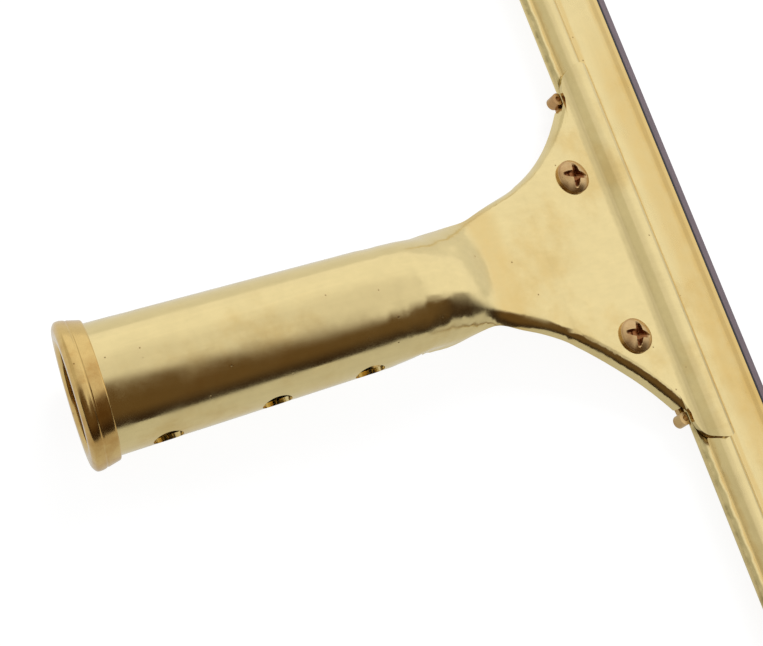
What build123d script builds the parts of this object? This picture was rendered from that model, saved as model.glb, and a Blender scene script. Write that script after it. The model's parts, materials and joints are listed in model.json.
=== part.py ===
"""Window cleaning squeegee: a tapered brass tube handle whose flattened fan head clamps a
channel with a rubber blade. Millimetres; X runs along the channel, Y from the handle's mouth
to the rubber, Z up. The tool lies at rest on its collar and on the channel's lips."""
import os
from math import asin, atan2, cos, hypot, radians, sin, sqrt, tan

from build123d import *

os.makedirs("parts", exist_ok=True)

# ---------------------------------------------------------------- driving dimensions
sheet = 1.15                   # brass sheet of the handle
bend = 20.0                    # the head leans down from the tube's axis, in degrees

# handle tube, distances measured along its axis from the collar's shoulder
mouth_radius = 16.0            # outside, at the collar's shoulder
neck_radius = 14.45            # outside, where the round tube ends
neck_start = 75.8              # end of the round tube
bend_point = 96.1              # the head's top plane crosses the tube's axis here
insert = 5.0                   # length of tube hidden inside the collar
drain_spots = (11.6, 38.4, 61.8)
drain_radius = 3.7
seam_width = 0.5
seam_depth = 0.35

# collar
collar_length = 7.4
collar_rise = 2.1              # how far it stands out from the tube
shoulder_rise = 0.9
collar_edge = 1.3              # rounded outer edge
bore_radius = 13.0             # mouth that the pole enters
mouth_chamfer = 0.4

# fan head: x across, t along the head from the bend point, n above its top face
fan_corner = (45.0, 45.4)      # half width, and how far along
fan_start = -14.0              # where the neck begins to widen
fan_flare = 3.4                # exponent of the widening
fan_spread = 0.18              # share of the widening that is even
roll_radius = 3.6              # rolled-down edge
roll_lean = 15.0               # outward lean of its wall, in degrees
flange_depth = 3.8             # how deep the rolled edge reaches
hood_centre = (52.0, -2.15)    # t and n of the channel's centre line
hood_reach = 53.2              # half length of the hood at its tips
fit = 0.03                     # clearance of the jaws round the channel
screw_spot = (22.3, 37.7)      # x and t
crease_radius = 2.6

# channel, roll-formed from one strip
strip = 0.8
channel_length = 305.0
channel_bead_radius = 3.6
channel_slot = 1.15            # half gap between the two walls
channel_tail = 6.6             # from the bead's centre to the folded back edge
lip_start = 14.2               # from the bead's centre to the bend of the lips
lip_end = 16.4
lip_flare = 0.6
root_radius = 0.5              # where the bead meets the back edge and the walls

# rubber
web_half = 1.1
rubber_reach = 20.2            # from the bulb's centre to the wiping edge

# clamp plate under the head
jaw_sheet = 1.5
jaw_back = 24.0
jaw_gap = 0.45                 # to the inside of the rolled edges
jaw_overhang = 0.1             # past the fan's corners
hook_overhang = 0.2            # from the plate's edge to the hook's middle
hook_radius = 1.7
hook_sheet = 0.95

# clamp screws, number 8 with 32 threads to the inch
thread_radius = 2.08
thread_pitch = 0.794
thread_play = 0.05
shell_hole_radius = 2.35
screw_length = 9.0
screw_head_radius = 4.6
screw_head_height = 2.3
recess_length = 6.0
recess_width = 1.05
recess_depth = 1.6
recess_turn = {"left": -13.5, "right": -19.0}

# end clips
clip_sheet = 0.4
clip_inside = 12.0
clip_angle = 80.0
clip_tab = 1.7
clip_play = 0.05               # to the bulb inside and the bead outside


collar_radius = mouth_radius + collar_rise
collar_shoulder_radius = mouth_radius + shoulder_rise
bulb_radius = channel_bead_radius - strip - clip_sheet - 2 * clip_play


# ---------------------------------------------------------------- frames
def head_in_tube(t, n):
    """Point of the head's side view in the tube's side view."""
    lean = radians(bend)
    return bend_point + t * cos(lean) + n * sin(lean), -t * sin(lean) + n * cos(lean)


# The tool rests on the collar's rounded edge and the lower lip of the channel.
edge_centre = (-collar_length + collar_edge, -collar_radius + collar_edge)
lip_half = channel_slot + strip + lip_flare
lip_corner = head_in_tube(hood_centre[0] + lip_end, hood_centre[1] - lip_half)
run = lip_corner[0] - edge_centre[0]
fall = lip_corner[1] - edge_centre[1]
rest_tilt = -(atan2(fall, run) + asin(collar_edge / hypot(run, fall)))
head_tilt = radians(bend) - rest_tilt


def at_rest(s, h):
    """Turn a side-view point of the tube into the resting pose, before it is centred."""
    return s * cos(rest_tilt) - h * sin(rest_tilt), s * sin(rest_tilt) + h * cos(rest_tilt)


rubber_tip = head_in_tube(hood_centre[0] + rubber_reach, hood_centre[1] + web_half)
back = at_rest(edge_centre[0], -edge_centre[1])[0] - collar_edge
front = at_rest(*rubber_tip)[0]
lift = collar_edge - at_rest(*edge_centre)[1]
shift = -(back + front) / 2

tube_direction = Vector(0, cos(rest_tilt), sin(rest_tilt))
head_direction = Vector(0, cos(head_tilt), -sin(head_tilt))
head_normal = Vector(0, sin(head_tilt), cos(head_tilt))
tube_origin = Vector(0, shift, lift)
bend_rest = at_rest(bend_point, 0)
head_origin = tube_origin + Vector(0, *bend_rest)

tube_side = Plane(origin=tube_origin, x_dir=tube_direction, z_dir=(1, 0, 0))
head_side = Plane(origin=head_origin, x_dir=head_direction, z_dir=(1, 0, 0))
head_top = Plane(origin=head_origin, x_dir=(1, 0, 0), z_dir=head_normal)
tube_axis = Axis(origin=tube_origin, direction=tube_direction)


def on_head(x, t, n):
    """Point of the head in the row's frame."""
    return head_origin + Vector(x, 0, 0) + head_direction * t + head_normal * n


def side_slab(t_low, t_high, n_low, n_high, mode=Mode.ADD):
    """Rectangle of the head's side view, added to the sketch that is open."""
    with Locations(((t_low + t_high) / 2, (n_low + n_high) / 2)):
        Rectangle(t_high - t_low, n_high - n_low, mode=mode)


# ---------------------------------------------------------------- handle shell
def tube_radius(s):
    """Outside radius of the tapered tube."""
    return mouth_radius + (neck_radius - mouth_radius) * s / neck_start


def fan_half_width(t):
    """Half width of the fan: an even widening and a flare that grows towards the corners."""
    share = max(t - fan_start, 0) / (fan_corner[1] - fan_start)
    return neck_radius + (fan_corner[0] - neck_radius) * (
        fan_spread * share + (1 - fan_spread) * share**fan_flare
    )


def fan_slope(t):
    """Sideways run of the fan's edge per unit of length."""
    run = fan_corner[1] - fan_start
    share = max(t - fan_start, 0) / run
    flare = (1 - fan_spread) * fan_flare * share ** (fan_flare - 1)
    return (fan_corner[0] - neck_radius) * (fan_spread + flare) / run


def neck_station(s, drop, lean, share, crown):
    """Section across the neck: place, top line, lean, half width, slope, shoulder, crown, wall."""
    half = fan_half_width(s - bend_point)
    return s, neck_radius - drop, lean, half, 0.0, share * half, crown, 0.0


def fan_station(t, hump=0.0, shoulder=roll_radius, crown=0.0, wall=roll_lean):
    """Section across the fan, with its top line raised by a hump."""
    s, top = head_in_tube(t, hump)
    return s, top, bend, fan_half_width(t), fan_slope(t), shoulder, crown, wall


# the round tube turns flat over the neck, then its sheet opens into the fan
flat_start = 0.48 * fan_corner[1]
neck_stations = [
    neck_station(neck_start, 0.0, 0.0, 1.0, 35.0),
    neck_station(neck_start + 5.8, 1.4, 0.65 * bend, 0.94, 32.0),
    neck_station(neck_start + 11.7, 4.9, 1.3 * bend, 0.80, 26.0),
    neck_station(neck_start + 17.5, 9.6, 1.6 * bend, 0.58, 18.0),
    fan_station(3.2, 0.7, 1.6 * roll_radius, 8.0, 0.3 * roll_lean),
    fan_station(9.4, 0.1, 1.2 * roll_radius, 2.0, 0.7 * roll_lean),
    fan_station(15.6),
    fan_station(flat_start),
]
flat_stations = [
    fan_station(flat_start + share * (fan_corner[1] - flat_start)) for share in (0, 0.25, 0.5, 0.75, 1)
]
wall_drop = neck_radius + 3.0


def section_plane(s, top, lean):
    """Plane across the tube or the fan, with its origin on the top line."""
    y, z = at_rest(s, top)
    tilt = rest_tilt - radians(lean)
    return Plane(
        origin=tube_origin + Vector(0, y, z),
        x_dir=(1, 0, 0),
        z_dir=(0, -cos(tilt), -sin(tilt)),
    )


def sheet_edge(station, inset):
    """Corner radius, crown and level of one face of the sheet in a section."""
    s, top, lean, half, slope, shoulder, crown, wall = station
    radius = shoulder - inset
    rise = radians(crown)
    side = half - inset * sqrt(1 + slope**2)
    top_half = side - radius + radius * sin(rise)
    level = -inset - top_half * tan(rise / 2) - radius * cos(rise)
    return side, radius, level


def section_face(station):
    """Section of the bent sheet: a crowned or flat top, round shoulders and walls that may lean."""
    crown, wall = station[-2:]
    rise = radians(crown)
    turn = 90 - crown - wall
    floor = -wall_drop
    with BuildLine(section_plane(*station[:3])) as outline:
        ends = []
        for inset in (0, sheet):
            side, radius, level = sheet_edge(station, inset)
            left = CenterArc((-side + radius, level), radius, 180 - wall, -turn)
            right = CenterArc((side - radius, level), radius, 90 - crown, -turn)
            if crown:
                peak = level + radius * cos(rise) + (side - radius + radius * sin(rise)) * tan(rise)
                Bezier(left @ 1, (0, peak), right @ 0, weights=[1, cos(rise), 1])
            else:
                Line(left @ 1, right @ 0)
            wall_top = (side - radius + radius * cos(radians(wall)), level + radius * sin(radians(wall)))
            foot = wall_top[0] + (wall_top[1] - floor) * tan(radians(wall))
            Line((-foot, floor), (-wall_top[0], wall_top[1]))
            Line(wall_top, (foot, floor))
            ends.append(foot)
        Line((-ends[0], floor), (-ends[1], floor))
        Line((ends[0], floor), (ends[1], floor))
    return Face(outline.wire())


# the sheet's edges leave the tube's underside and run up to the rolled edges of the fan,
# which end short of the clamp plate's hooks
flange_end = fan_corner[1] - 2.0
corner_depth = sheet + 0.05
with BuildSketch(tube_side) as underside:
    with BuildLine():
        scoop = Spline(
            (neck_start - 9, -neck_radius - 3),
            (neck_start - 7.5, -0.8 * neck_radius),
            (neck_start - 3, -0.45 * neck_radius),
            (neck_start + 3, -0.28 * neck_radius),
            (neck_start + 12, -0.2 * neck_radius),
            head_in_tube(0, -2.6),
            head_in_tube(6, -2.9),
            head_in_tube(13, -3.1),
            head_in_tube(21, -3.4),
            head_in_tube(29, -flange_depth + 0.1),
            head_in_tube(37, -flange_depth),
        )
        last = head_in_tube(fan_corner[1] + 0.8, -corner_depth)
        Polyline(
            scoop @ 1,
            head_in_tube(flange_end, -flange_depth),
            head_in_tube(flange_end + 0.8, -corner_depth),
            last,
            (last[0], -4 * neck_radius),
            (neck_start - 9, -4 * neck_radius),
            scoop @ 0,
        )
    make_face()


neck_faces = [section_face(station) for station in neck_stations]
flat_faces = [section_face(station) for station in flat_stations]

with BuildPart() as neck_sheet:
    loft(neck_faces)
    extrude(underside.sketch, amount=2 * fan_corner[0], both=True, mode=Mode.SUBTRACT)

with BuildPart() as fan_sheet:
    loft(flat_faces)
    extrude(underside.sketch, amount=2 * fan_corner[0], both=True, mode=Mode.SUBTRACT)

# hood: the front of the sheet arches over the channel's bead and comes down to its wall
hood_inner = channel_bead_radius + fit
hood_outer = hood_inner + sheet
bead_wall = channel_slot + strip
centre_t, centre_n = hood_centre


def crease_at(radius, level):
    """Where a level line of the head's side view meets a circle round the channel's centre."""
    return centre_t - sqrt(radius**2 - (level - centre_n) ** 2), level


with BuildPart() as hood:
    with BuildSketch(head_side) as hood_profile:
        side_slab(fan_corner[1] - 3, centre_t, -sheet, 0)
        with Locations(hood_centre):
            Circle(hood_outer)
        crease = hood_profile.vertices().sort_by_distance(crease_at(hood_outer, 0))[0]
        fillet(crease, radius=crease_radius)
        with Locations(hood_centre):
            Circle(hood_inner, mode=Mode.SUBTRACT)
        side_slab(0, centre_t, centre_n - 2 * hood_outer, -sheet, Mode.SUBTRACT)
        lip_level = centre_n + bead_wall + fit
        side_slab(centre_t, centre_t + 2 * hood_outer, -4 * hood_outer, lip_level, Mode.SUBTRACT)
        bend_inside = hood_profile.vertices().sort_by_distance(crease_at(hood_inner, -sheet))[0]
        fillet(bend_inside, radius=crease_radius)
        lip_corner_inside = (2 * centre_t - crease_at(hood_inner, lip_level)[0], lip_level)
        lip_inside = hood_profile.vertices().sort_by_distance(lip_corner_inside)[0]
        fillet(lip_inside, radius=root_radius + fit)
    extrude(amount=hood_reach + 1, both=True)
    with BuildSketch(head_top) as hood_outline:
        with BuildLine():
            inner = (fan_corner[0] - 2 * roll_radius, fan_corner[1] - 2)
            root = (fan_corner[0] - 0.3, fan_corner[1] + 0.1)
            tip = (hood_reach, centre_t)
            end = (hood_reach - hood_outer, centre_t + hood_outer + 0.2)
            Line((0, inner[1] - 2), (inner[0], inner[1] - 2))
            Line((inner[0], inner[1] - 2), inner)
            Line(inner, root)
            ThreePointArc(root, (hood_reach - 2.3, centre_t - 4.6), tip)
            ThreePointArc(tip, (hood_reach - 1.4, centre_t + 3.5), end)
            Line(end, (0, end[1]))
            Line((0, end[1]), (0, inner[1] - 2))
        make_face()
        mirror(about=Plane.YZ)
    extrude(amount=4 * hood_outer, both=True, mode=Mode.INTERSECT)

with BuildPart() as handle_shell:
    with BuildSketch(tube_side):
        with BuildLine():
            Polyline(
                (-insert, tube_radius(-insert) - sheet),
                (-insert, tube_radius(-insert)),
                (neck_start, neck_radius),
                (neck_start, neck_radius - sheet),
                close=True,
            )
        make_face()
    revolve(axis=tube_axis)
    extrude(underside.sketch, amount=2 * fan_corner[0], both=True, mode=Mode.SUBTRACT)
    add(neck_sheet.part)
    add(fan_sheet.part)
    add(hood.part)
    # lengthwise seam of the rolled tube
    with BuildSketch(tube_side):
        with BuildLine():
            far = neck_start - 4
            Polyline(
                (-insert, -tube_radius(-insert) - 1),
                (far, -tube_radius(far) - 1),
                (far, -tube_radius(far) + seam_depth),
                (-insert, -tube_radius(-insert) + seam_depth),
                close=True,
            )
        make_face()
    extrude(amount=seam_width / 2, both=True, mode=Mode.SUBTRACT)
    # drain holes, drilled right across the tube
    for spot in drain_spots:
        with Locations(Plane(tube_origin + tube_direction * spot, z_dir=(1, 0, 0))):
            Cylinder(drain_radius, 3 * mouth_radius, mode=Mode.SUBTRACT)
    # clearance holes of the clamp screws
    with Locations(*[Plane(on_head(side * screw_spot[0], screw_spot[1], 0), z_dir=head_normal)
                     for side in (-1, 1)]):
        Cylinder(shell_hole_radius, 4 * sheet, mode=Mode.SUBTRACT)
handle_shell.part.label = "handle_shell"

# ---------------------------------------------------------------- collar
with BuildPart() as handle_collar:
    with BuildSketch(tube_side) as collar_profile:
        with BuildLine():
            Polyline(
                (-collar_length, bore_radius),
                (-collar_length, collar_radius),
                (-collar_length + 2 * collar_edge, collar_radius),
                (0, collar_shoulder_radius),
                (0, tube_radius(0)),
                (-insert, tube_radius(-insert)),
                (-insert, bore_radius),
                close=True,
            )
        make_face()
        corners = collar_profile.vertices()
        fillet(corners.sort_by_distance((-collar_length, collar_radius))[0], collar_edge)
        corners = collar_profile.vertices()
        chamfer(corners.sort_by_distance((-collar_length, bore_radius))[0], mouth_chamfer)
    revolve(axis=tube_axis)
handle_collar.part.label = "handle_collar"

# ---------------------------------------------------------------- clamp plate
jaw_top = 2 * centre_n + sheet
jaw_under = jaw_top - jaw_sheet
jaw_outer = hood_inner + jaw_sheet
jaw_lip = centre_n - bead_wall - fit
jaw_half = fan_corner[0] + jaw_overhang


def jaw_half_width(t):
    """Half width of the clamp plate, inside the rolled edges of the fan."""
    return fan_half_width(t) - sheet * sqrt(1 + fan_slope(t) ** 2) - jaw_gap


with BuildPart() as clamp_plate:
    with BuildSketch(head_side) as jaw_profile:
        side_slab(jaw_back, centre_t, jaw_under, jaw_top)
        with Locations(hood_centre):
            Circle(jaw_outer)
        crease = jaw_profile.vertices().sort_by_distance(crease_at(jaw_outer, jaw_under))[0]
        fillet(crease, radius=crease_radius)
        with Locations(hood_centre):
            Circle(hood_inner, mode=Mode.SUBTRACT)
        side_slab(0, centre_t, jaw_top, centre_n + 2 * jaw_outer, Mode.SUBTRACT)
        side_slab(centre_t, centre_t + 2 * jaw_outer, jaw_lip, 4 * jaw_outer, Mode.SUBTRACT)
        bend_inside = jaw_profile.vertices().sort_by_distance(crease_at(hood_inner, jaw_top))[0]
        fillet(bend_inside, radius=crease_radius)
        lip_corner_inside = (2 * centre_t - crease_at(hood_inner, jaw_lip)[0], jaw_lip)
        lip_inside = jaw_profile.vertices().sort_by_distance(lip_corner_inside)[0]
        fillet(lip_inside, radius=root_radius + fit)
    extrude(amount=jaw_half + 1, both=True)
    with BuildSketch(head_top) as jaw_outline:
        with BuildLine():
            front_t = centre_t + jaw_outer + 1
            neck_t = fan_corner[1] - 1
            side_t = centre_t - channel_tail - 0.6
            Line((0, jaw_back), (jaw_half_width(jaw_back), jaw_back))
            edge = Spline(*[(jaw_half_width(jaw_back + share * (neck_t - jaw_back)),
                             jaw_back + share * (neck_t - jaw_back))
                            for share in (0, 0.25, 0.5, 0.75, 1)])
            Polyline(edge @ 1, (jaw_half, side_t), (jaw_half, front_t), (0, front_t), (0, jaw_back))
        make_face()
        mirror(about=Plane.YZ)
    extrude(amount=4 * jaw_outer, both=True, mode=Mode.INTERSECT)
    # hooked corners that reach up round the ends of the rolled edges
    hook_x = jaw_half + hook_overhang
    hook_t = centre_t - channel_tail - 1.0
    with BuildSketch(head_top.offset(jaw_under)):
        with Locations((-hook_x, hook_t), (hook_x, hook_t)):
            Circle(hook_radius)
            Circle(hook_radius - hook_sheet, mode=Mode.SUBTRACT)
            with Locations((0, 0.85 + hook_radius)):
                Rectangle(3 * hook_radius, 2 * hook_radius, mode=Mode.SUBTRACT)
    extrude(amount=-sheet - 0.45 - jaw_under)
    # extruded and tapped collars for the screws
    screw_places = [(side * screw_spot[0], screw_spot[1]) for side in (-1, 1)]
    with BuildSketch(head_top.offset(jaw_under + 0.1)):
        with Locations(*screw_places):
            Circle(1.7 * thread_radius)
    extrude(amount=-0.9 * thread_radius - 0.1, taper=4)
    with BuildSketch(head_top):
        with Locations(*screw_places):
            Circle(thread_radius + thread_play)
    extrude(amount=-screw_length, mode=Mode.SUBTRACT)
clamp_plate.part.label = "clamp_plate"


# ---------------------------------------------------------------- clamp screws
def clamp_screw(side, turn):
    """Pan head screw with a cross recess, standing on the head's top face."""
    spot = on_head(side * screw_spot[0], screw_spot[1], 0)
    upright = Plane(origin=spot, x_dir=(1, 0, 0), z_dir=-head_direction)
    dome = 0.7 * screw_head_height
    with BuildPart() as screw:
        with BuildSketch(upright):
            with BuildLine():
                Polyline(
                    (0, screw_head_height),
                    (0, -screw_length),
                    (thread_radius - 0.4, -screw_length),
                    (thread_radius, -screw_length + 0.4),
                    (thread_radius, 0),
                    (screw_head_radius, 0),
                    (screw_head_radius, 0.3 * screw_head_height),
                )
                RadiusArc(
                    (screw_head_radius, 0.3 * screw_head_height),
                    (0, screw_head_height),
                    -(screw_head_radius**2 + dome**2) / (2 * dome),
                )
            make_face()
        revolve(axis=Axis(origin=spot, direction=head_normal))
        # two crossing wedges make the recess
        for quarter in (0, 90):
            wedge = Plane(
                origin=spot,
                x_dir=Vector(1, 0, 0).rotate(Axis((0, 0, 0), head_normal), turn + quarter),
                z_dir=-head_direction.rotate(Axis((0, 0, 0), head_normal), turn + quarter),
            )
            with BuildSketch(wedge):
                with BuildLine():
                    top = screw_head_height + 0.1
                    floor = screw_head_height - recess_depth
                    Polyline(
                        (-recess_length / 2, top),
                        (recess_length / 2, top),
                        (0.36 * recess_length, floor + 0.5 * recess_depth),
                        (0.14 * recess_length, floor),
                        (-0.14 * recess_length, floor),
                        (-0.36 * recess_length, floor + 0.5 * recess_depth),
                        close=True,
                    )
                make_face()
            extrude(amount=recess_width / 2, both=True, mode=Mode.SUBTRACT)
    return screw.part


clamp_screw_left = clamp_screw(-1, recess_turn["left"])
clamp_screw_left.label = "clamp_screw_left"
clamp_screw_right = clamp_screw(1, recess_turn["right"])
clamp_screw_right.label = "clamp_screw_right"

# ---------------------------------------------------------------- channel
with BuildPart() as channel:
    with BuildSketch(head_side) as strip_section:
        side_slab(centre_t - channel_tail + strip, centre_t, centre_n - strip, centre_n + strip)
        side_slab(centre_t, centre_t + lip_end, centre_n - bead_wall, centre_n + bead_wall)
        with Locations(hood_centre):
            Circle(channel_bead_radius)
            with Locations((-channel_tail + strip, 0)):
                Circle(strip)
        tail_root = channel_bead_radius * cos(asin(strip / channel_bead_radius))
        wall_root = channel_bead_radius * cos(asin(bead_wall / channel_bead_radius))
        for side in (-1, 1):
            corners = strip_section.vertices()
            root = (centre_t - tail_root, centre_n + side * strip)
            fillet(corners.sort_by_distance(root)[0], root_radius)
            corners = strip_section.vertices()
            root = (centre_t + wall_root, centre_n + side * bead_wall)
            fillet(corners.sort_by_distance(root)[0], root_radius)
        with Locations(hood_centre):
            Polygon(
                (lip_start, -bead_wall),
                (lip_start + 0.8, -lip_half),
                (lip_end, -lip_half),
                (lip_end, lip_half),
                (lip_start + 0.8, lip_half),
                (lip_start, bead_wall),
                align=None,
            )
            Circle(channel_bead_radius - strip, mode=Mode.SUBTRACT)
        slot_end = centre_t + lip_end + 1
        side_slab(centre_t, slot_end, centre_n - channel_slot, centre_n + channel_slot, Mode.SUBTRACT)
        with Locations(hood_centre):
            Polygon(
                (lip_start + 0.3, -channel_slot),
                (lip_start + 1.1, -channel_slot - lip_flare),
                (lip_end + 1, -channel_slot - lip_flare),
                (lip_end + 1, channel_slot + lip_flare),
                (lip_start + 1.1, channel_slot + lip_flare),
                (lip_start + 0.3, channel_slot),
                align=None,
                mode=Mode.SUBTRACT,
            )
    extrude(amount=channel_length / 2, both=True)
channel.part.label = "channel"

# ---------------------------------------------------------------- rubber blade
with BuildPart() as rubber_blade:
    with BuildSketch(head_side):
        with Locations(hood_centre):
            Circle(bulb_radius)
        side_slab(centre_t, centre_t + rubber_reach, centre_n - web_half, centre_n + web_half)
    extrude(amount=channel_length / 2, both=True)
rubber_blade.part.label = "rubber_blade"

# ---------------------------------------------------------------- end clips
clip_inner = bulb_radius + clip_play
clip_outer = clip_inner + clip_sheet


def clip_section(start, inner, outer):
    """Arc of clip sheet above the bulb, drawn at a place along the channel."""
    first = 90 - clip_angle / 2
    with BuildSketch(head_side.offset(start)) as section:
        with BuildLine():
            outside = CenterArc(hood_centre, outer, first, clip_angle)
            inside = CenterArc(hood_centre, inner, first, clip_angle)
            Line(outside @ 0, inside @ 0)
            Line(outside @ 1, inside @ 1)
        make_face()
    return section.sketch


with BuildPart() as end_clip_right:
    channel_end = channel_length / 2
    strip_arc = clip_section(channel_end - clip_inside, clip_inner, clip_outer)
    extrude(strip_arc, amount=clip_inside + fit + clip_sheet, dir=(1, 0, 0))
    tab_arc = clip_section(channel_end + fit, clip_inner, channel_bead_radius + clip_tab)
    extrude(tab_arc, amount=clip_sheet, dir=(1, 0, 0))
end_clip_right.part.label = "end_clip_right"

with BuildPart() as end_clip_left:
    mirror(end_clip_right.part, about=Plane.YZ)
end_clip_left.part.label = "end_clip_left"

# ---------------------------------------------------------------- files
export_step(handle_shell.part, "parts/handle_shell.step")
export_step(handle_collar.part, "parts/handle_collar.step")
export_step(clamp_plate.part, "parts/clamp_plate.step")
export_step(clamp_screw_left, "parts/clamp_screw_left.step")
export_step(clamp_screw_right, "parts/clamp_screw_right.step")
export_step(channel.part, "parts/channel.step")
export_step(rubber_blade.part, "parts/rubber_blade.step")
export_step(end_clip_left.part, "parts/end_clip_left.step")
export_step(end_clip_right.part, "parts/end_clip_right.step")
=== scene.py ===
"""Dressed scene of a brass window squeegee.

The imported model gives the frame. Each sub-assembly is a class that works out its own meshes as
functions of two parameters and puts its finishes on. Lengths inside the classes are millimetres
in a local frame, either the tube's or the head's, and become metres when they are placed.
"""

import json
import logging
import math
from dataclasses import dataclass, field
from enum import Enum
from typing import Optional

import bmesh
import bpy
import numpy as np
from mathutils import Matrix, Vector


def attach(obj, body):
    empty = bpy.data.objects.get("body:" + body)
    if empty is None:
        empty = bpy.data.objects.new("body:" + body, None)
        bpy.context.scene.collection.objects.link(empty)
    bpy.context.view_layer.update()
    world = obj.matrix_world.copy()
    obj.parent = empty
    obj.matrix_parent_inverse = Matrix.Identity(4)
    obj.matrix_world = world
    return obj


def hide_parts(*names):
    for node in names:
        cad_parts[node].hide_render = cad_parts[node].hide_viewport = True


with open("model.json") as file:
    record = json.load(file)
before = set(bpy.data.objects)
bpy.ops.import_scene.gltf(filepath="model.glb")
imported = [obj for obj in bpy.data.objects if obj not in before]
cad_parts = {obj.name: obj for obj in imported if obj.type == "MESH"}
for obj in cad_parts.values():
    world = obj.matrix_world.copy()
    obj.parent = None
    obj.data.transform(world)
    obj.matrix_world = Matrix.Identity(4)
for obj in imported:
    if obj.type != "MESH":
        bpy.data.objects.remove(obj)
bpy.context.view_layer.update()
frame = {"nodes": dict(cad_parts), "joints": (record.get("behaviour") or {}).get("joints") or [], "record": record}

logging.basicConfig(level=logging.INFO, format="%(levelname)s %(message)s")
log = logging.getLogger("squeegee")

Colour = tuple[float, float, float]
MM = 0.001
AMBER = (0.70, 0.45, 0.13)
# Painted shade for the crease where the fan's plate meets the jaw's bead.
HOOD_CREASE_SHADE = (0.56, 0.45, 0.215)
# Painted shade for the channel's tail where it runs under the jaw's edge.
TAIL_SHADE = (0.30, 0.25, 0.105)
PIT = (0.22, 0.11, 0.03)
WHITE = (1.0, 1.0, 1.0, 1.0)
FLAT_ANGLE = 0.01
SLIVER = 0.4


class Body(Enum):
    """The rigid bodies that pieces ride on."""

    HANDLE = "handle"
    LEFT_SCREW = "left_screw"
    RIGHT_SCREW = "right_screw"
    LOWER_JAW = "lower_jaw"
    CHANNEL = "channel"
    RUBBER = "rubber"
    LEFT_CLIP = "left_clip"
    RIGHT_CLIP = "right_clip"


class Slot(Enum):
    """The record's material slots."""

    POLISHED = "polished_brass"
    TURNED = "turned_brass"
    PLATE = "plate_brass"
    SCREW = "screw_bronze"
    CHANNEL = "channel_brass"
    RUBBER = "black_rubber"
    CLIP = "clip_brass"


class Grain(Enum):
    """The direction that drawing, rolling or turning left fine marks in."""

    ALONG_Y = (1.0, 0.035, 1.0)
    ALONG_X = (0.035, 1.0, 1.0)
    NONE = (1.0, 1.0, 1.0)


# ------------------------------------------------------------------ local frames
@dataclass(frozen=True)
class LocalFrame:
    """A local frame of the tool: x across, y along the part and z out of its top."""

    origin: np.ndarray
    along: np.ndarray
    up: np.ndarray

    def place(self, points: np.ndarray) -> np.ndarray:
        """Carry local points to the shared frame.

        Args:
            points: array (..., 3) of local millimetres.

        Returns:
            Array (..., 3) of metres in the shared frame.
        """
        across = np.array([1.0, 0.0, 0.0])
        axes = np.stack([across, self.along, self.up])
        return self.origin + MM * (points @ axes)

    def measure(self, places: np.ndarray, axis: np.ndarray) -> np.ndarray:
        """Millimetres from the origin to each place, along one of the frame's axes."""
        return (places - self.origin) @ axis / MM


def joint_entry(name: str) -> dict:
    """Find a joint of the record by its name."""
    return next(joint for joint in frame["joints"] if joint["name"] == name)


def tube_frame(mouth_depth: float = 6.0) -> LocalFrame:
    """Frame of the tube: its origin is on the axis at the collar's shoulder.

    Args:
        mouth_depth: distance of the socket mount from the shoulder, in millimetres.

    Returns:
        The frame, taken from the pole socket's mount.
    """
    socket = frame["record"]["mounts"][0]
    along = -np.array(socket["axis"], float)
    up = np.cross([1.0, 0.0, 0.0], along)
    origin = np.array(socket["pos_m"], float) + MM * mouth_depth * along
    return LocalFrame(origin, along, up)


def head_frame(screw_station: float = 37.7) -> LocalFrame:
    """Frame of the head: its origin is where the head's top face crosses the tube's axis.

    Args:
        screw_station: distance of the screws along the head, in millimetres.

    Returns:
        The frame, taken from the two screws' hinges.
    """
    left, right = joint_entry("left_screw_turn"), joint_entry("right_screw_turn")
    up = np.array(left["axis"], float)
    along = np.cross(up, [1.0, 0.0, 0.0])
    middle = (np.array(left["pos_m"], float) + np.array(right["pos_m"], float)) / 2
    return LocalFrame(middle - MM * screw_station * along, along, up)


TUBE = tube_frame()
HEAD = head_frame()


# ------------------------------------------------------------------ meshes
def smoothstep(low: float, high: float, value: np.ndarray) -> np.ndarray:
    """Cubic ramp: 0 below low, 1 above high, 3t^2 - 2t^3 between."""
    share = np.clip((value - low) / (high - low), 0.0, 1.0)
    return share * share * (3.0 - 2.0 * share)


def arc(centre: tuple[float, float], radius: float, first: float, last: float, count: int) -> np.ndarray:
    """Points on a circle, centre + radius (cos a, sin a), with a in degrees from first to last.

    Args:
        centre: middle of the circle.
        radius: its radius.
        first: angle of the first point.
        last: angle of the last point.
        count: number of points.

    Returns:
        Array (count, 2).
    """
    angle = np.radians(np.linspace(first, last, count))
    return np.stack([centre[0] + radius * np.cos(angle), centre[1] + radius * np.sin(angle)], axis=1)


def rounded(corners: np.ndarray, radii: np.ndarray, count: int) -> np.ndarray:
    """Closed outline with each corner cut by a quadratic curve that starts and ends radius away.

    Each corner P with neighbours A and B becomes (1-u)^2 S + 2u(1-u) P + u^2 E, where S and E
    lie on its two sides at the given distance, at most 0.45 of the side.

    Args:
        corners: array (n, 2).
        radii: array (n,) of distances.
        count: points per corner.

    Returns:
        Array (n * count, 2).
    """
    before, after = np.roll(corners, 1, axis=0) - corners, np.roll(corners, -1, axis=0) - corners
    length_before = np.linalg.norm(before, axis=1, keepdims=True)
    length_after = np.linalg.norm(after, axis=1, keepdims=True)
    start = corners + before / length_before * np.minimum(radii[:, None], 0.45 * length_before)
    end = corners + after / length_after * np.minimum(radii[:, None], 0.45 * length_after)
    u = np.linspace(0.0, 1.0, count)[None, :, None]
    curve = (1 - u) ** 2 * start[:, None] + 2 * u * (1 - u) * corners[:, None] + u**2 * end[:, None]
    return curve.reshape(-1, 2)


def link(name: str, data: bpy.types.ID) -> bpy.types.Object:
    """Put a mesh, a lamp or a camera into the scene as an object at the origin."""
    made = bpy.data.objects.new(name, data)
    bpy.context.scene.collection.objects.link(made)
    return made


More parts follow.
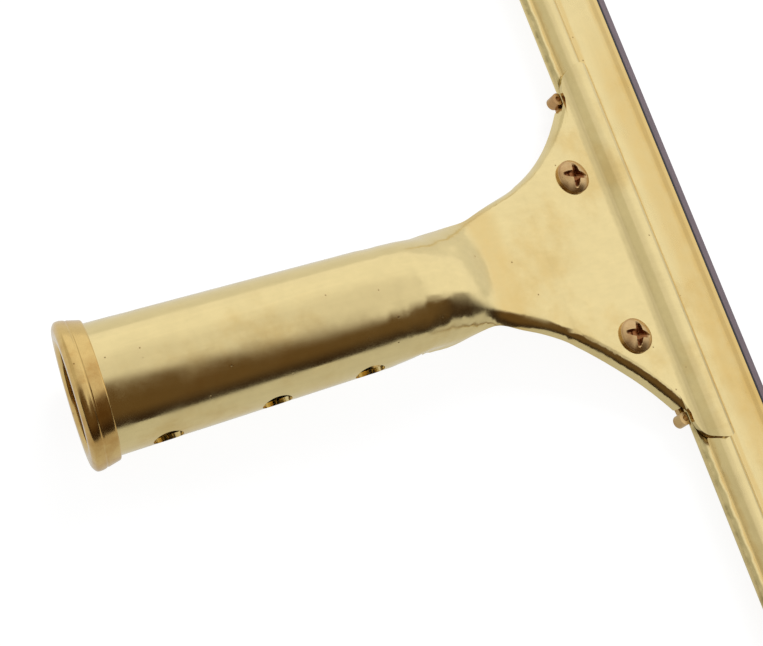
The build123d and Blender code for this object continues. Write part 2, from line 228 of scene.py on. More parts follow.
def smooth_mesh(mesh: bpy.types.Mesh, sharp_degrees: float) -> None:
    """Shade a mesh smooth, with crisp edges where it turns more than an angle."""
    mesh.shade_smooth()
    mesh.set_sharp_from_angle(angle=math.radians(sharp_degrees))


def mesh_object(name: str, points: np.ndarray, faces: list,
                sharp_degrees: float = 32.0) -> bpy.types.Object:
    """Make a smooth mesh object with sharp edges above an angle.

    Args:
        name: name of the piece.
        points: array (n, 3) in metres.
        faces: lists of point numbers.
        sharp_degrees: edges that turn more than this stay crisp.

    Returns:
        The new object, at the origin.
    """
    mesh = bpy.data.meshes.new(name)
    mesh.from_pydata(points.reshape(-1, 3).tolist(), [], faces)
    mesh.validate()
    mesh.update()
    smooth_mesh(mesh, sharp_degrees)
    return link(name, mesh)


def grid_faces(rows: int, columns: int) -> list:
    """Quads of a grid of points whose last column joins its first.

    Args:
        rows: number of rows of points.
        columns: number of points in a row.

    Returns:
        Lists of four point numbers.
    """
    row, column = np.meshgrid(np.arange(rows - 1), np.arange(columns), indexing="ij")
    following = (column + 1) % columns
    quads = np.stack(
        [row * columns + column, row * columns + following,
         (row + 1) * columns + following, (row + 1) * columns + column], axis=-1)
    return quads.reshape(-1, 4).tolist()


def capped_faces(rows: int, columns: int) -> list:
    """Quads of such a grid, with one face over its first row and one over its last."""
    last = (rows - 1) * columns
    return grid_faces(rows, columns) + [list(range(columns))[::-1], list(range(last, last + columns))]


def extrude_outline(name: str, outline: np.ndarray, stations: np.ndarray, where: LocalFrame,
                    sharp_degrees: float) -> bpy.types.Object:
    """Carry a closed outline along x and close both ends.

    The point (i, j) is (stations[i], outline[j]).

    Args:
        name: name of the piece.
        outline: array (m, 2) of y and z.
        stations: array (n,) of x.
        where: the local frame.
        sharp_degrees: edges that turn more than this stay crisp.

    Returns:
        The new object.
    """
    points = np.empty((len(stations), len(outline), 3))
    points[..., 0] = stations[:, None]
    points[..., 1:] = outline[None]
    faces = capped_faces(len(stations), len(outline))
    piece = mesh_object(name, where.place(points), faces, sharp_degrees)
    recalculate_outwards(piece)
    return piece


def recalculate_outwards(piece: bpy.types.Object) -> None:
    """Turn every face of a closed piece outwards."""
    shell = bmesh.new()
    shell.from_mesh(piece.data)
    bmesh.ops.recalc_face_normals(shell, faces=shell.faces)
    shell.to_mesh(piece.data)
    shell.free()


def read_places(piece: bpy.types.Object) -> np.ndarray:
    """Read a piece's vertices as an array (n, 3) of metres."""
    places = np.empty(len(piece.data.vertices) * 3, np.float32)
    piece.data.vertices.foreach_get("co", places)
    return places.reshape(-1, 3)


def write_shade(piece: bpy.types.Object, name: str, values: np.ndarray) -> None:
    """Keep one number for each vertex of a piece in an attribute that its finish reads."""
    layer = piece.data.attributes.new(name, "FLOAT", "POINT")
    layer.data.foreach_set("value", values.astype(np.float32).ravel())


def both_ways(edges: np.ndarray) -> np.ndarray:
    """List every edge from each of its ends: the row of tails and the row of heads."""
    return np.concatenate([edges, edges[:, ::-1]]).T


def neighbour_sum(places: np.ndarray, tails: np.ndarray, heads: np.ndarray,
                  pull: np.ndarray | float = 1.0) -> np.ndarray:
    """Add up the places of each vertex's neighbours.

    Args:
        places: array (n, 3) of the vertices.
        tails: number of the vertex that an edge leaves.
        heads: number of the neighbour that it reaches.
        pull: what each neighbour's place is multiplied by.

    Returns:
        Array (n, 3).
    """
    sums = [np.bincount(tails, pull * places[heads, axis], len(places)) for axis in range(3)]
    return np.stack(sums, axis=1)


def welded_copy(node: str, name: str, sharp_degrees: float) -> bpy.types.Object:
    """Copy a node's mesh and join its loose triangles into one smooth skin.

    Args:
        node: name of the node.
        name: name of the new piece.
        sharp_degrees: edges that turn more than this stay crisp.

    Returns:
        The new piece.
    """
    mesh = frame["nodes"][node].data.copy()
    mesh.name = name
    skin = bmesh.new()
    skin.from_mesh(mesh)
    bmesh.ops.remove_doubles(skin, verts=skin.verts, dist=2e-6)
    skin.to_mesh(mesh)
    skin.free()
    if "custom_normal" in mesh.attributes:
        mesh.attributes.remove(mesh.attributes["custom_normal"])
    mesh.materials.clear()
    smooth_mesh(mesh, sharp_degrees)
    piece = link(name, mesh)
    flats = piece.modifiers.new("flats", "WEIGHTED_NORMAL")
    flats.mode = "FACE_AREA"
    flats.weight = 50
    flats.keep_sharp = True
    return piece


def add_rings(piece: bpy.types.Object, where: LocalFrame, stations: np.ndarray, reach: float) -> None:
    """Cut a round tube's faces along planes across a local frame, so that it can bend there.

    The long pairs of triangles are joined to four-sided faces first, which keeps each cut a
    clean ring with no corner in the middle of a face. Corners less than 0.4 mm apart are merged
    afterwards, away from the sharp edges, so that no sliver is left in the bend.

    Args:
        piece: the piece, whose part between the frame's origin and the last plane is the tube.
        where: the local frame.
        stations: distances of the planes along it.
        reach: distance past the last plane in which slivers are merged.
    """
    skin = bmesh.new()
    skin.from_mesh(piece.data)
    along, start = Vector(where.along), Vector(where.origin)
    last = MM * (float(stations.max()) + 1.5)
    tube = [face for face in skin.faces
            if all((vert.co - start).dot(along) < last for vert in face.verts)]
    bmesh.ops.join_triangles(
        skin, faces=tube, angle_face_threshold=FLAT_ANGLE, angle_shape_threshold=math.pi)
    for station in stations:
        bmesh.ops.bisect_plane(
            skin, geom=skin.verts[:] + skin.edges[:] + skin.faces[:], dist=1e-7,
            plane_co=start + MM * float(station) * along, plane_no=along)
    first, beyond = MM * (float(stations.min()) + 0.5), MM * (float(stations.max()) + reach)
    bend = [vert for vert in skin.verts if first < (vert.co - start).dot(along) < beyond
            and all(edge.smooth for edge in vert.link_edges)]
    bmesh.ops.remove_doubles(skin, verts=bend, dist=SLIVER * MM)
    skin.to_mesh(piece.data)
    skin.free()


def fit_piece(piece: bpy.types.Object, body: Body, slot: Slot, material: bpy.types.Material,
              *nodes: str) -> None:
    """Give a piece its finish and its body, and hide the nodes that it stands for.

    Args:
        piece: the finished piece.
        body: the body that it rides on.
        slot: the record's slot; not used.
        material: its finish.
        nodes: the nodes that it stands for.
    """
    piece.data.materials.clear()
    piece.data.materials.append(material)
    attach(piece, body.value)
    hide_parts(*nodes)
    log.info("%s: %d faces on %s", piece.name, len(piece.data.polygons), body.value)


# ------------------------------------------------------------------ finishes
class Nodes:
    """A small builder of nodes in one tree."""

    def __init__(self, tree: bpy.types.NodeTree) -> None:
        """Take a tree and empty it."""
        self.tree = tree
        self.tree.nodes.clear()

    def node(self, kind: str, settings: Optional[dict] = None, **inputs: object) -> bpy.types.Node:
        """Add a node.

        Args:
            kind: its type, without the ShaderNode that every type begins with.
            settings: properties of the node.
            inputs: values or sockets for its inputs, by name with spaces as underscores, or by
                number with an i in front.

        Returns:
            The node.
        """
        made = self.tree.nodes.new("ShaderNode" + kind)
        for key, value in (settings or {}).items():
            setattr(made, key, value)
        for key, value in inputs.items():
            numbered = key[0] == "i" and key[1:].isdigit()
            socket = made.inputs[int(key[1:]) if numbered else key.replace("_", " ")]
            if isinstance(value, bpy.types.NodeSocket):
                self.tree.links.new(value, socket)
            else:
                socket.default_value = value
        return made

    def maths(self, operation: str, *values: object, clamp: bool = False) -> bpy.types.NodeSocket:
        """Combine numbers or sockets with a Math node and give its result."""
        inputs = {f"i{number}": value for number, value in enumerate(values)}
        return self.node("Math", {"operation": operation, "use_clamp": clamp}, **inputs).outputs[0]

    def ramp(self, value: bpy.types.NodeSocket, low: float, high: float,
             to_low: float = 0.0, to_high: float = 1.0) -> bpy.types.NodeSocket:
        """Map the range from low to high smoothly to the one from to_low to to_high."""
        return self.node("MapRange", {"interpolation_type": "SMOOTHSTEP"}, Value=value, From_Min=low,
                         From_Max=high, To_Min=to_low, To_Max=to_high).outputs[0]

    def line(self, value: bpy.types.NodeSocket, first: tuple[float, float],
             second: tuple[float, float]) -> bpy.types.NodeSocket:
        """Straight line through two points (input, output), held beyond both."""
        return self.node("MapRange", Value=value, From_Min=first[0], To_Min=first[1],
                         From_Max=second[0], To_Max=second[1]).outputs[0]

    def blend(self, factor: object, first: object, second: object,
              mode: str = "MIX") -> bpy.types.NodeSocket:
        """Mix two colours.

        Args:
            factor: share of the second, a number or a socket.
            first: a colour or a socket.
            second: a colour or a socket.
            mode: the Mix node's blend type.

        Returns:
            The mixed colour.
        """
        first, second = (value if isinstance(value, bpy.types.NodeSocket) else (*value, 1.0)
                         for value in (first, second))
        return self.node("Mix", {"data_type": "RGBA", "blend_type": mode},
                         i0=factor, i6=first, i7=second).outputs[2]

    def choose(self, factor: bpy.types.NodeSocket, first: bpy.types.Node,
               second: bpy.types.Node) -> bpy.types.Node:
        """Mix two closures, with the factor as the second one's share."""
        return self.node("MixShader", i0=factor, i1=first.outputs[0], i2=second.outputs[0])


class Shader(Nodes):
    """A builder of one material, with patterns that lie on Object coordinates."""

    def __init__(self, name: str) -> None:
        """Start a material with an empty node tree."""
        self.material = bpy.data.materials.new(name)
        self.material.use_nodes = True
        super().__init__(self.material.node_tree)

    def noise(self, scale: float, stretch: tuple[float, float, float] = (1.0, 1.0, 1.0),
              detail: float = 5.0, roughness: float = 0.6, offset: float = 0.0) -> bpy.types.NodeSocket:
        """Noise on Object coordinates.

        Args:
            scale: grains per metre.
            stretch: share of that scale along each axis.
            detail: finer layers of noise.
            roughness: strength of the finer layers.
            offset: shift of the pattern, which makes it another one.

        Returns:
            A value from 0 to 1.
        """
        place = self.node("Mapping", Vector=self.position(), Scale=stretch,
                          Location=(offset, 0.37 * offset, 0.71 * offset))
        return self.node("TexNoise", Vector=place.outputs[0], Scale=scale,
                         Detail=detail, Roughness=roughness).outputs[0]

    def bump(self, height: bpy.types.NodeSocket, strength: float, distance: float,
             under: Optional[bpy.types.Node] = None) -> bpy.types.Node:
        """Raise a relief over the surface, or over another relief under it."""
        below = {"Normal": under.outputs[0]} if under else {}
        return self.node("Bump", Height=height, Strength=strength, Distance=distance, **below)

    def position(self) -> bpy.types.NodeSocket:
        """Object coordinates."""
        return self.node("TexCoord").outputs["Object"]

    def along(self, where: LocalFrame, axis: np.ndarray) -> bpy.types.NodeSocket:
        """Millimetres from a local frame's origin along one of its axes.

        Args:
            where: the local frame.
            axis: a direction of unit length.

        Returns:
            The distance: the dot product of place and axis, less the origin's own.
        """
        product = self.node("VectorMath", {"operation": "DOT_PRODUCT"}, i0=self.position(),
                            i1=tuple(float(value) for value in axis))
        start = float(np.dot(where.origin, axis))
        return self.maths("DIVIDE", self.maths("SUBTRACT", product.outputs["Value"], start), MM)

    def surface(self, closure: bpy.types.NodeSocket) -> bpy.types.Material:
        """Join a closure to the output and give the material."""
        self.node("OutputMaterial", Surface=closure)
        return self.material


@dataclass(frozen=True)
class Band:
    """A strip of colour across the head, at a distance from its origin, with ragged edges: mostly tarnish, but the
    dark bands in the jaw's crease and on the channel's tail are painted shade.
    """

    middle: float
    half: float
    strength: float
    colour: Colour
    half_width: float = 200.0


@dataclass(frozen=True)
class BrassFinish:
    """Worked brass: clean metal, warm tarnish in soft patches, pits, fine marks and mottled gloss, plus bands
    across the head and, where a shade colour is given, painted shade read from an attribute.
    """

    name: str
    clean: Colour = (0.83, 0.675, 0.335)
    tarnish: Colour = (0.69, 0.475, 0.165)
    tarnish_low: float = 0.50
    tarnish_high: float = 0.74
    tarnish_scale: float = 42.0
    tarnish_share: float = 0.55
    grain: Grain = Grain.ALONG_Y
    grain_scale: float = 900.0
    grain_depth: float = 0.02
    pit_scale: float = 420.0
    pit_share: float = 0.10
    gloss_low: float = 0.13
    gloss_high: float = 0.27
    waviness: float = 0.10
    offset: float = 0.0
    bands: tuple[Band, ...] = ()
    # Colour of the painted shade in a screw's cross recess and round its dome's rim.
    recess_shade_colour: Optional[Colour] = None

    def build(self) -> bpy.types.Material:
        """Build the material.

        Returns:
            A metal whose colour, roughness and relief vary with Object coordinates.
        """
        shader = Shader(self.name)
        patches = shader.noise(self.tarnish_scale, detail=6.0, roughness=0.62, offset=self.offset)
        stained = shader.ramp(patches, self.tarnish_low, self.tarnish_high, 0.0, self.tarnish_share)
        colour = shader.blend(stained, self.clean, self.tarnish)
        clouds = shader.noise(6.0 * self.tarnish_scale, offset=self.offset + 3.1)
        cloud_dim = shader.ramp(clouds, 0.30, 0.72, 0.97, 1.015)
        colour = shader.blend(1.0, colour, self._grey(shader, cloud_dim), "MULTIPLY")
        grain = shader.noise(self.grain_scale, self.grain.value, 3.0, 0.6, self.offset + 7.7)
        streak_dim = shader.ramp(grain, 0.35, 0.7, 0.985, 1.01)
        colour = shader.blend(1.0, colour, self._grey(shader, streak_dim), "MULTIPLY")
        colour = self._banded(shader, colour, clouds)
        # Painted shade: an attribute darkens the cross recess and a ring round the dome's rim.
        if self.recess_shade_colour:
            grime = shader.node("Attribute", {"attribute_name": "grime"}).outputs["Fac"]
            grime = shader.maths("MULTIPLY", grime, shader.ramp(clouds, 0.2, 0.6, 0.7, 1.0))
            colour = shader.blend(grime, colour, self.recess_shade_colour)
        pits = self._pits(shader)
        colour = shader.blend(pits, colour, PIT)
        gloss = shader.noise(2.3 * self.tarnish_scale, offset=self.offset + 5.3)
        roughness = shader.ramp(gloss, 0.3, 0.72, self.gloss_low, self.gloss_high)
        roughness = shader.maths("ADD", roughness, shader.maths("MULTIPLY", pits, 0.3))
        swell = shader.noise(70.0, detail=2.0, roughness=0.4, offset=self.offset + 9.9)
        relief = shader.bump(swell, self.waviness, 0.3 * MM)
        relief = shader.bump(grain, self.grain_depth, 0.05 * MM, relief)
        relief = shader.bump(shader.maths("SUBTRACT", 1.0, pits), 0.35, 0.1 * MM, relief)
        metal = shader.node("BsdfPrincipled", Base_Color=colour, Metallic=1.0,
                            Roughness=roughness, Normal=relief.outputs[0])
        return shader.surface(metal.outputs[0])

    def _banded(self, shader: Shader, colour: bpy.types.NodeSocket,
                clouds: bpy.types.NodeSocket) -> bpy.types.NodeSocket:
        """Lay the bands over the colour.

        Args:
            shader: the shader being built.
            colour: the metal so far.
            clouds: noise that breaks the bands up.

        Returns:
            The colour with each band mixed in, fading from its middle line and past its half width.
        """
        if not self.bands:
            return colour
        station = shader.along(HEAD, HEAD.along)
        wander = shader.maths("MULTIPLY", shader.maths("SUBTRACT", clouds, 0.5), 1.6)
        station = shader.maths("ADD", station, wander)
        across = shader.maths("ABSOLUTE", shader.along(HEAD, np.array([1.0, 0.0, 0.0])))
        patchy = shader.ramp(clouds, 0.3, 0.7, 0.7, 1.0)
        for band in self.bands:
            away = shader.maths("ABSOLUTE", shader.maths("SUBTRACT", station, band.middle))
            amount = shader.ramp(away, 0.25 * band.half, band.half, band.strength, 0.0)
            amount = shader.maths("MULTIPLY", amount, patchy)
            near = shader.ramp(across, 0.7 * band.half_width, 1.2 * band.half_width, 1.0, 0.0)
            colour = shader.blend(shader.maths("MULTIPLY", amount, near), colour, band.colour)
        return colour

    def _grey(self, shader: Shader, value: bpy.types.NodeSocket) -> bpy.types.NodeSocket:
        """Turn a number into a grey colour."""
        return shader.node("CombineColor", i0=value, i1=value, i2=value).outputs[0]

    def _pits(self, shader: Shader) -> bpy.types.NodeSocket:
        """Small round pits: cells near their middle, in the share of cells that a random value picks."""
        cells = shader.node("TexVoronoi", Vector=shader.position(), Scale=self.pit_scale)
        near = shader.ramp(cells.outputs["Distance"], 0.05, 0.13, 1.0, 0.0)
        chosen = shader.node("SeparateColor", Color=cells.outputs["Color"]).outputs[0]
        picked = shader.ramp(chosen, 1.0 - self.pit_share, 1.0 - 0.6 * self.pit_share, 0.0, 0.75)
        return shader.maths("MULTIPLY", near, picked)


@dataclass(frozen=True)
class RubberFinish:
    """Black moulded rubber, grey towards its wiping edge: partly real dust, partly painted sheen where the top
    face catches the light.
    """

    name: str = "blade_rubber"
    black: Colour = (0.012, 0.012, 0.016)
    dusty_sheen: Colour = (0.17, 0.13, 0.145)

    def build(self) -> bpy.types.Material:
        """Build the material, with the grey of dust and painted sheen carried by the piece's own attribute.

        Returns:
            A rough rubber.
        """
        shader = Shader(self.name)
        dust_and_sheen_share = shader.node("Attribute", {"attribute_name": "dust"}).outputs["Fac"]
        speckle = shader.noise(900.0, (0.15, 1.0, 1.0), 5.0, 0.65)
        patchy = shader.ramp(speckle, 0.28, 0.7, 0.75, 1.1)
        # Mixes in grey towards the edge: partly dust, partly painted sheen of the top face.
        colour = shader.blend(shader.maths("MULTIPLY", dust_and_sheen_share, patchy, clamp=True), self.black, self.dusty_sheen)
        roughness = shader.ramp(speckle, 0.3, 0.7, 0.42, 0.6)
        relief = shader.bump(speckle, 0.25, 0.06 * MM)
        rubber = shader.node("BsdfPrincipled", Base_Color=colour, Roughness=roughness,
                             Normal=relief.outputs[0])
        return shader.surface(rubber.outputs[0])


# ------------------------------------------------------------------ handle
@dataclass
class Handle:
    """Tube, neck and fan head in one sheet of brass, with the turned collar at its mouth."""

    collar_length: float = 7.1
    collar_radius: float = 18.1
    shoulder_radius: float = 16.9
    tube_radius: float = 16.0
    insert: float = 5.0
    bore_radius: float = 13.0
    edge: float = 1.3
    ease_lift: float = 0.85
    ease_tuck: float = 1.2
    ease_spread: float = 1.3
    ease_pull: float = 2.6
    ease_trim: float = 0.3
    ring_step: float = 1.4
    blend_middle: float = 75.8
    blend_reach: tuple[float, float] = (9.0, 18.0)
    blend_core: float = 0.45
    blend_rounds: int = 24
    smooth_rounds: int = 10
    still_edge: tuple[float, float] = (0.6, 6.0)
    low_stations: tuple[tuple[float, float], tuple[float, float]] = ((70.0, 80.0), (88.0, 104.0))
    side_stations: tuple[tuple[float, float], tuple[float, float]] = ((80.0, 96.0), (104.0, 126.0))
    trim_stations: tuple[tuple[float, float], tuple[float, float]] = ((74.0, 82.0), (88.0, 96.0))
    spread_stations: tuple[tuple[float, float], tuple[float, float]] = ((88.0, 106.0), (110.0, 132.0))
    low_level: tuple[tuple[float, float], tuple[float, float]] = ((84.0, 126.0), (0.5, -10.5))
    low_fade: float = 3.0
    side_reach: tuple[float, float] = (1.0, 14.0)
    cone_start: float = -4.8
    mouth_recess: float = 0.7
    groove_width: float = 0.7
    groove_depth: float = 0.16
    columns: int = 240
    sheet_finish: BrassFinish = field(default_factory=lambda: BrassFinish(
        "sheet_brass", gloss_low=0.11, gloss_high=0.22, bands=(
            # The band at 46.6 is painted shade in the crease between the fan's plate and the jaw's bead; the other
            # two are tarnish.
            Band(5.0, 7.0, 0.42, AMBER), Band(46.6, 1.9, 0.75, HOOD_CREASE_SHADE), Band(56.5, 2.0, 0.35, AMBER))))
    collar_finish: BrassFinish = field(default_factory=lambda: BrassFinish(
        "collar_brass", clean=(0.75, 0.53, 0.205), tarnish=(0.54, 0.30, 0.085), tarnish_share=0.75,
        tarnish_low=0.42, tarnish_high=0.64, tarnish_scale=75.0,
        grain=Grain.NONE, gloss_low=0.12, gloss_high=0.24, offset=4.0))

    def build(self) -> None:
        """Make and dress the two pieces."""
        shell = welded_copy("handle_shell", "handle_sheet", 34.0)
        behind, ahead = self.blend_reach
        rings = np.arange(self.blend_middle - behind, self.blend_middle, self.ring_step)
        add_rings(shell, TUBE, rings, ahead)
        self.ease_neck(shell)
        fit_piece(shell, Body.HANDLE, Slot.POLISHED, self.sheet_finish.build(), "handle_shell")
        collar = self.collar()
        fit_piece(collar, Body.HANDLE, Slot.TURNED, self.collar_finish.build(), "handle_collar")

    def ease_neck(self, shell: bpy.types.Object) -> None:
        """Form the neck a little unevenly, as a hammer over a block does.

        Four bumps run along the tube's distance s, each rising over its first pair of stations and
        falling over its second. Times the first bump, and a ramp that is 0 above a falling level
        and 1 below it, the right wall's lower edge goes inwards by the tuck and both edges go up
        by the lift. Times the second bump, and a ramp from the middle to the side, the right side
        goes inwards by its pull. The left side comes in by the trim and goes out by the spread,
        each along its own bump.

        Args:
            shell: the handle's sheet.
        """
        places = read_places(shell).astype(float)
        along, height = TUBE.measure(places, TUBE.along), TUBE.measure(places, TUBE.up)
        low_bump, side_bump, trim_bump, spread_bump = (
            smoothstep(*rise, along) * (1.0 - smoothstep(*fall, along))
            for rise, fall in (self.low_stations, self.side_stations, self.trim_stations,
                               self.spread_stations))
        level = np.interp(along, *self.low_level)
        low = low_bump * (1.0 - smoothstep(-self.low_fade, self.low_fade, height - level))
        left, right = (smoothstep(*self.side_reach, side * places[:, 0] / MM) for side in (-1.0, 1.0))
        places += (MM * self.ease_lift * low)[:, None] * TUBE.up
        places[:, 0] += MM * (left * (self.ease_trim * trim_bump - self.ease_spread * spread_bump)
                              - right * (self.ease_pull * side_bump + self.ease_tuck * low))
        places = self.soften_bend(shell, places)
        shell.data.vertices.foreach_set("co", places.astype(np.float32).ravel())
        shell.data.update()

    def soften_bend(self, shell: bpy.types.Object, places: np.ndarray) -> np.ndarray:
        """Round off the bend at the end of the round tube, as the press leaves it.

        In each round a vertex goes half of the way to the mean of its neighbours that lie along
        the tube from it, times 1 at the tube's end, falling to 0 at the reach on either side.
        More rounds with all its neighbours take out the last unevenness. Nothing moves at a cut
        edge, and less does within 6 mm of one.

        Args:
            shell: the handle's sheet.
            places: its vertices, in metres.

        Returns:
            The vertices' new places.
        """
        edges = np.empty(len(shell.data.edges) * 2, np.int64)
        shell.data.edges.foreach_get("vertices", edges)
        edges = edges.reshape(-1, 2)
        along = TUBE.measure(places, TUBE.along)
        near = self.near_bend(shell, places, edges, along)
        step = places[edges[:, 0]] - places[edges[:, 1]]
        length = np.linalg.norm(step, axis=1)
        lengthwise = (np.abs(step @ TUBE.along) > 0.8 * length) & (length < MM * self.blend_reach[1])
        tails, heads = both_ways(edges[lengthwise])
        behind = np.bincount(tails, along[heads] < along[tails] - 0.1, len(places))
        ahead = np.bincount(tails, along[heads] > along[tails] + 0.1, len(places))
        share_behind, share_ahead = 0.5 / np.maximum(behind, 1.0), 0.5 / np.maximum(ahead, 1.0)
        pull = np.where(along[heads] < along[tails], share_behind[tails], share_ahead[tails])
        weight = (0.5 * near * ((behind > 0) & (ahead > 0)))[:, None]
        for _ in range(self.blend_rounds):
            places = places + weight * (neighbour_sum(places, tails, heads, pull) - places)
        tails, heads = both_ways(edges)
        around = np.maximum(np.bincount(tails, minlength=len(places)), 1)[:, None]
        weight = (0.5 * near)[:, None]
        for _ in range(self.smooth_rounds):
            places = places + weight * (neighbour_sum(places, tails, heads) / around - places)
        return places

    def near_bend(self, shell: bpy.types.Object, places: np.ndarray, edges: np.ndarray,
                  along: np.ndarray) -> np.ndarray:
        """Share of the softening that each vertex takes.

        It is 1 at the tube's end and falls to 0 at the reach on either side, times a ramp of the
        distance to the nearest sharp edge.

        Args:
            shell: the handle's sheet.
            places: its vertices, in metres.
            edges: array (m, 2) of the vertices that its edges join.
            along: distance of each vertex along the tube, in millimetres.

        Returns:
            Array (n,) from 0 to 1.
        """
        behind, ahead = self.blend_reach
        past = along - self.blend_middle
        near = 1.0 - smoothstep(self.blend_core, 1.0, -past / behind)
        near = near * (1.0 - smoothstep(self.blend_core, 1.0, past / ahead))
        sharp = np.empty(len(edges), bool)
        shell.data.edges.foreach_get("use_edge_sharp", sharp)
        rim = np.unique(edges[sharp])
        rim = rim[(past[rim] > -2.0 * behind) & (past[rim] < 1.5 * ahead)]
        inside = np.flatnonzero(near > 0.0)
        gaps = np.linalg.norm(places[inside][:, None] - places[rim][None], axis=2).min(axis=1) / MM
        near[inside] *= smoothstep(*self.still_edge, gaps)
        return near

    def collar(self) -> bpy.types.Object:
        """Turned ring: the profile (s, r) with rounded corners goes round the tube's axis.

        The point (i, j) is (r_i sin a_j, s_i, r_i cos a_j).

        Returns:
            The ring.
        """
        tube_end = self.tube_radius + 0.02 * self.insert
        front, middle, groove = -self.collar_length, -self.collar_length / 2, self.groove_width / 2
        outer = self.collar_radius
        slope = (outer - self.shoulder_radius) / -self.cone_start
        before, after = (outer - slope * (place - self.cone_start)
                         for place in (middle - groove, middle + groove))
        outline = [
            ((front + self.mouth_recess, self.bore_radius), 0.35),
            ((front, self.bore_radius + 1.1), 0.8),
            ((front + 0.05, outer - self.edge), 0.6),
            ((front + 0.75 * self.edge, outer), 0.6),
            ((self.cone_start, outer), 0.5),
            ((middle - groove, before), 0.12),
            ((middle, (before + after) / 2 - self.groove_depth), 0.2),
            ((middle + groove, after), 0.12),
            ((0.0, self.shoulder_radius), 0.5),
            ((0.0, self.tube_radius), 0.05),
            ((-self.insert, tube_end), 0.05),
            ((-self.insert, self.bore_radius), 0.05),
            ((front + self.mouth_recess + 0.6, self.bore_radius), 0.05)]
        corners = np.array([corner for corner, _ in outline])
        radii = np.array([radius for _, radius in outline])
        profile = rounded(corners, radii, 9)
        angle = np.linspace(0.0, 2 * np.pi, self.columns, endpoint=False)
        points = np.empty((len(profile), len(angle), 3))
        points[..., 0] = profile[:, 1:] * np.sin(angle)
        points[..., 1] = profile[:, :1]
        points[..., 2] = profile[:, 1:] * np.cos(angle)
        faces = grid_faces(len(profile), len(angle))
        joint = np.stack([np.arange(len(angle)), np.roll(np.arange(len(angle)), -1)], axis=1)
        last = (len(profile) - 1) * len(angle)
        closing = np.concatenate([joint[:, ::-1], joint + last], axis=1)
        ring = mesh_object("turned_collar", TUBE.place(points), faces + closing.tolist(), 40.0)
        recalculate_outwards(ring)
        return ring


